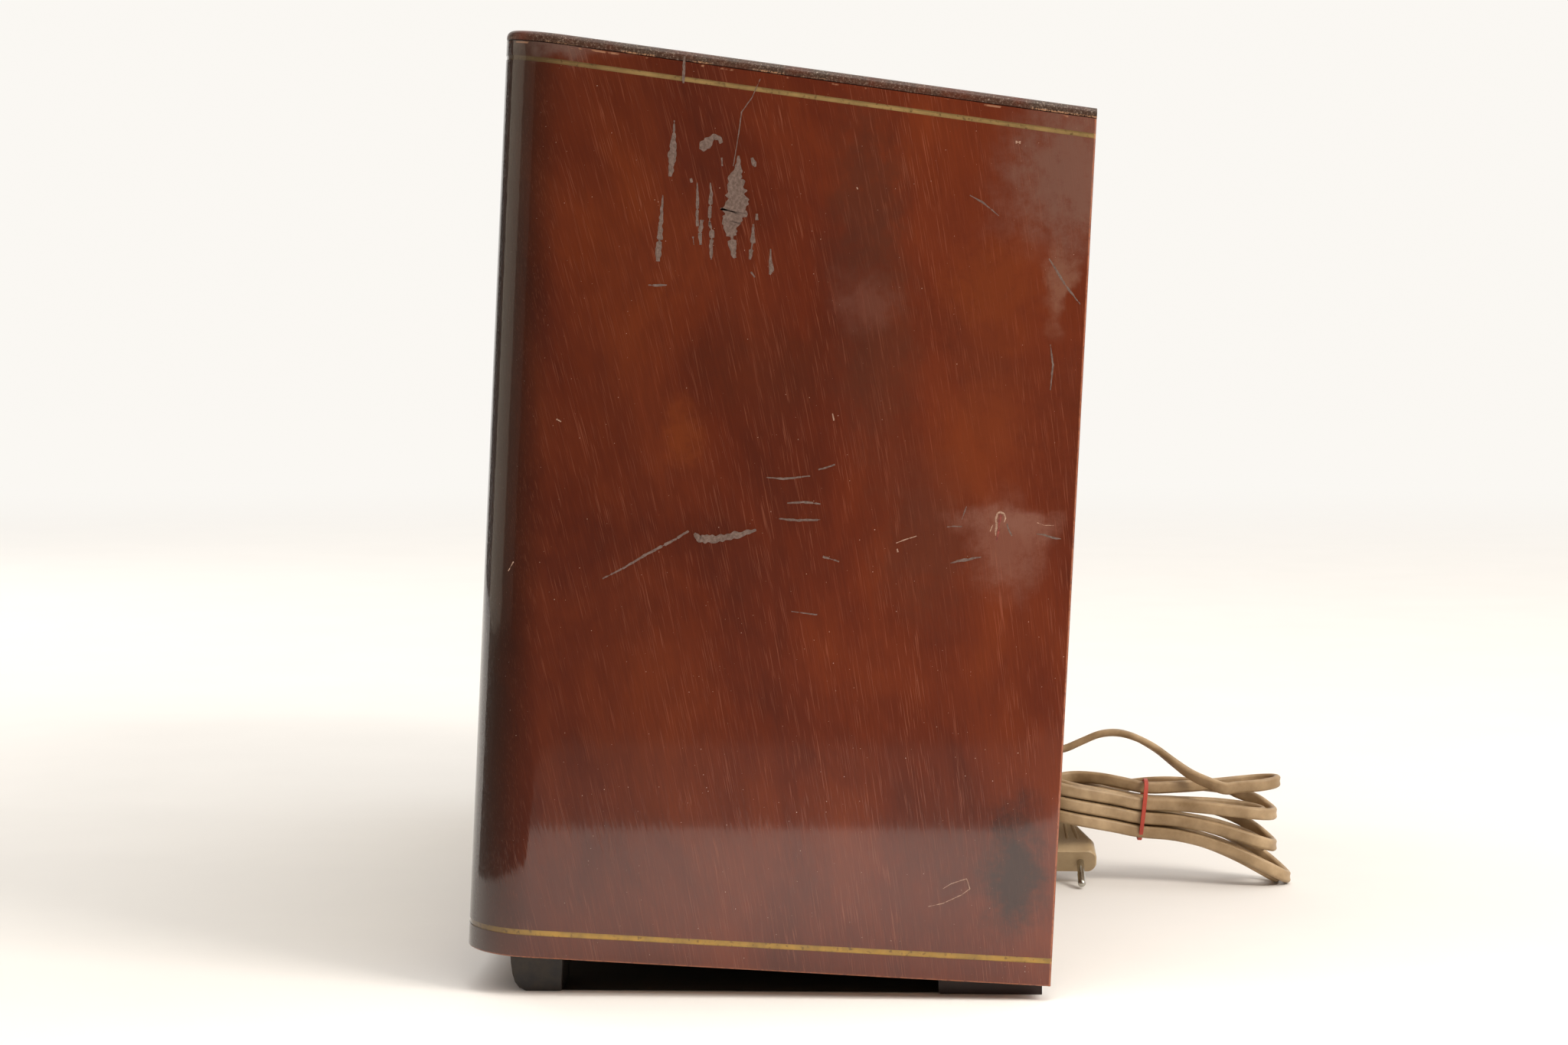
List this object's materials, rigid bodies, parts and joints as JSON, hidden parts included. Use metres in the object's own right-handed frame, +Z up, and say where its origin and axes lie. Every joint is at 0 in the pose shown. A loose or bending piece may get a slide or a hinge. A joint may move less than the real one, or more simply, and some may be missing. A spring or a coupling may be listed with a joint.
{
  "type": "table radio",
  "caption": "Leaning wooden table radio with rounded front corners, gilt side lines, cloth and dial front, concentric knobs, piano keys, working tuning drive and a tied flat mains cord.",
  "frame": {"origin": "on the table, under the middle of the radio's box, the cord left out", "axes": "+Z up, the front faces -Y, +X to the right of someone who faces the front"},
  "size_m": [0.6, 0.3857, 0.409],
  "materials": {
    "walnut": "dark red-brown wood veneer under a worn high-gloss varnish",
    "plywood": "raw plywood",
    "cloth": "woven speaker cloth with a metallic thread",
    "gilt": "thin bright metal trim, slightly dulled",
    "cream": "glossy cream plastic",
    "gilt_plastic": "gold-brown plastic",
    "glass": "clear dial glass with printed lines",
    "scale": "cream enamel",
    "red": "red enamel",
    "eye": "green glass tube",
    "steel": "zinc-plated steel",
    "brass": "turned brass",
    "keys": "ivory plastic",
    "iron": "varnished laminations",
    "valve_glass": "valve glass with a grey getter",
    "aluminium": "drawn aluminium",
    "string": "waxed thread",
    "phenolic": "brown phenolic board",
    "grey_metal": "grey lacquered steel",
    "paper": "black paper pulp",
    "lamp": "small lamp bulbs in metal clips",
    "ferrite": "dark ferrite with waxed coils",
    "hardboard": "brown hardboard",
    "black_feet": "black worn feet",
    "brown_feet": "brown wooden blocks",
    "rubber": "dark rubber",
    "cord": "beige flat twin mains cord",
    "band": "red rubber band",
    "plug": "beige moulded plug"
  },
  "bodies": {
    "cabinet": {"side_left": "walnut", "side_right": "walnut", "top_panel": "walnut", "bottom_panel": "plywood", "front_frame": "walnut", "baffle_board": "plywood", "speaker_cloth": "cloth", "cloth_trim": "gilt", "fascia": "cream", "dial_glass": "glass", "dial_frame": "scale", "tuning_eye": "eye", "front_bushes": "brass", "key_frame": "steel", "chassis": "steel", "mains_transformer": "iron", "output_transformer": "iron", "power_valves": "valve_glass", "signal_valves": "valve_glass", "if_cans": "aluminium", "fm_tuner": "aluminium", "gang_frame": "steel", "dial_cord": "string", "volume_control": "phenolic", "filter_capacitor": "aluminium", "speaker_frame": "grey_metal", "speaker_cone": "paper", "dial_lamps": "lamp", "ferrite_bracket": "steel", "back_panel": "hardboard", "back_battens": "plywood", "back_screws": "steel", "socket_strip": "phenolic", "front_feet": "black_feet", "rear_feet": "brown_feet", "cord_grommet": "rubber", "cord_lead": "cord", "cord_hank": "cord", "cord_tail": "cord", "cord_band": "band", "plug_body": "plug", "plug_pins": "steel"},
    "volume": {"volume_knob": "cream", "volume_shaft": "steel"},
    "tone": {"tone_ring": "gilt_plastic", "tone_tube": "steel"},
    "tuning": {"tuning_knob": "cream", "tuning_shaft": "brass"},
    "aerial": {"aerial_ring": "gilt_plastic", "aerial_tube": "steel"},
    "gang": {"gang_rotor": "aluminium", "drive_drum": "scale"},
    "pointer": {"dial_pointer": "red"},
    "idler": {"idler_pulley": "scale"},
    "rod_aerial": {"ferrite_rod": "ferrite"},
    "band_key_1": {"key_1": "keys"},
    "band_key_2": {"key_2": "keys"},
    "band_key_3": {"key_3": "keys"},
    "band_key_4": {"key_4": "keys"},
    "band_key_5": {"key_5": "keys"}
  },
  "joints": [
    {"name": "gang_turn", "type": "hinge", "parent": "cabinet", "child": "gang", "pos_m": [0.146, -0.05629, 0.12977], "axis": [0, 0.9988, -0.0485], "range_deg": [0, 180]},
    {"name": "tuning_turn", "type": "hinge", "parent": "cabinet", "child": "tuning", "pos_m": [0.19, -0.12079, 0.07984], "axis": [0, 0.9988, -0.0485], "range_deg": [0, 2160]},
    {"name": "pointer_slide", "type": "slide", "parent": "cabinet", "child": "pointer", "axis": [1, 0, 0], "range_m": [0, 0.1885]},
    {"name": "idler_turn", "type": "hinge", "parent": "cabinet", "child": "idler", "pos_m": [-0.13, -0.05976, 0.182], "axis": [0, 0.9988, -0.0485], "range_deg": [0, 1350]},
    {"name": "volume_turn", "type": "hinge", "parent": "cabinet", "child": "volume", "pos_m": [-0.19, -0.12079, 0.07984], "axis": [0, 0.9988, -0.0485], "range_deg": [0, 300]},
    {"name": "tone_turn", "type": "hinge", "parent": "cabinet", "child": "tone", "pos_m": [-0.19, -0.12079, 0.07984], "axis": [0, 0.9988, -0.0485], "range_deg": [0, 270]},
    {"name": "aerial_turn", "type": "hinge", "parent": "cabinet", "child": "aerial", "pos_m": [0.19, -0.12079, 0.07984], "axis": [0, 0.9988, -0.0485], "range_deg": [-90, 90]},
    {"name": "ferrite_turn", "type": "hinge", "parent": "cabinet", "child": "rod_aerial", "pos_m": [0.032, 0.01478, 0.1914], "axis": [0, 0.0485, 0.9988], "range_deg": [-90, 90]},
    {"name": "key_1_press", "type": "hinge", "parent": "cabinet", "child": "band_key_1", "pos_m": [-0.058, -0.07066, 0.08141], "axis": [1, 0, 0], "range_deg": [0, 7], "stiffness_Nm_per_rad": 0.2, "springref_deg": -11.46},
    {"name": "key_2_press", "type": "hinge", "parent": "cabinet", "child": "band_key_2", "pos_m": [-0.029, -0.07066, 0.08141], "axis": [1, 0, 0], "range_deg": [0, 7], "stiffness_Nm_per_rad": 0.2, "springref_deg": -11.46},
    {"name": "key_3_press", "type": "hinge", "parent": "cabinet", "child": "band_key_3", "pos_m": [0, -0.07066, 0.08141], "axis": [1, 0, 0], "range_deg": [0, 7], "stiffness_Nm_per_rad": 0.2, "springref_deg": -11.46},
    {"name": "key_4_press", "type": "hinge", "parent": "cabinet", "child": "band_key_4", "pos_m": [0.029, -0.07066, 0.08141], "axis": [1, 0, 0], "range_deg": [0, 7], "stiffness_Nm_per_rad": 0.2, "springref_deg": -11.46},
    {"name": "key_5_press", "type": "hinge", "parent": "cabinet", "child": "band_key_5", "pos_m": [0.058, -0.07066, 0.08141], "axis": [1, 0, 0], "range_deg": [0, 7], "stiffness_Nm_per_rad": 0.2, "springref_deg": -11.46}
  ],
  "couplings": [
    {"joint": "tuning_turn", "follows": "gang_turn", "ratio": 12},
    {"joint": "pointer_slide", "follows": "gang_turn", "m_per_rad": 0.06},
    {"joint": "idler_turn", "follows": "gang_turn", "ratio": 7.5},
    {"joint": "ferrite_turn", "follows": "aerial_turn", "ratio": 1}
  ]
}
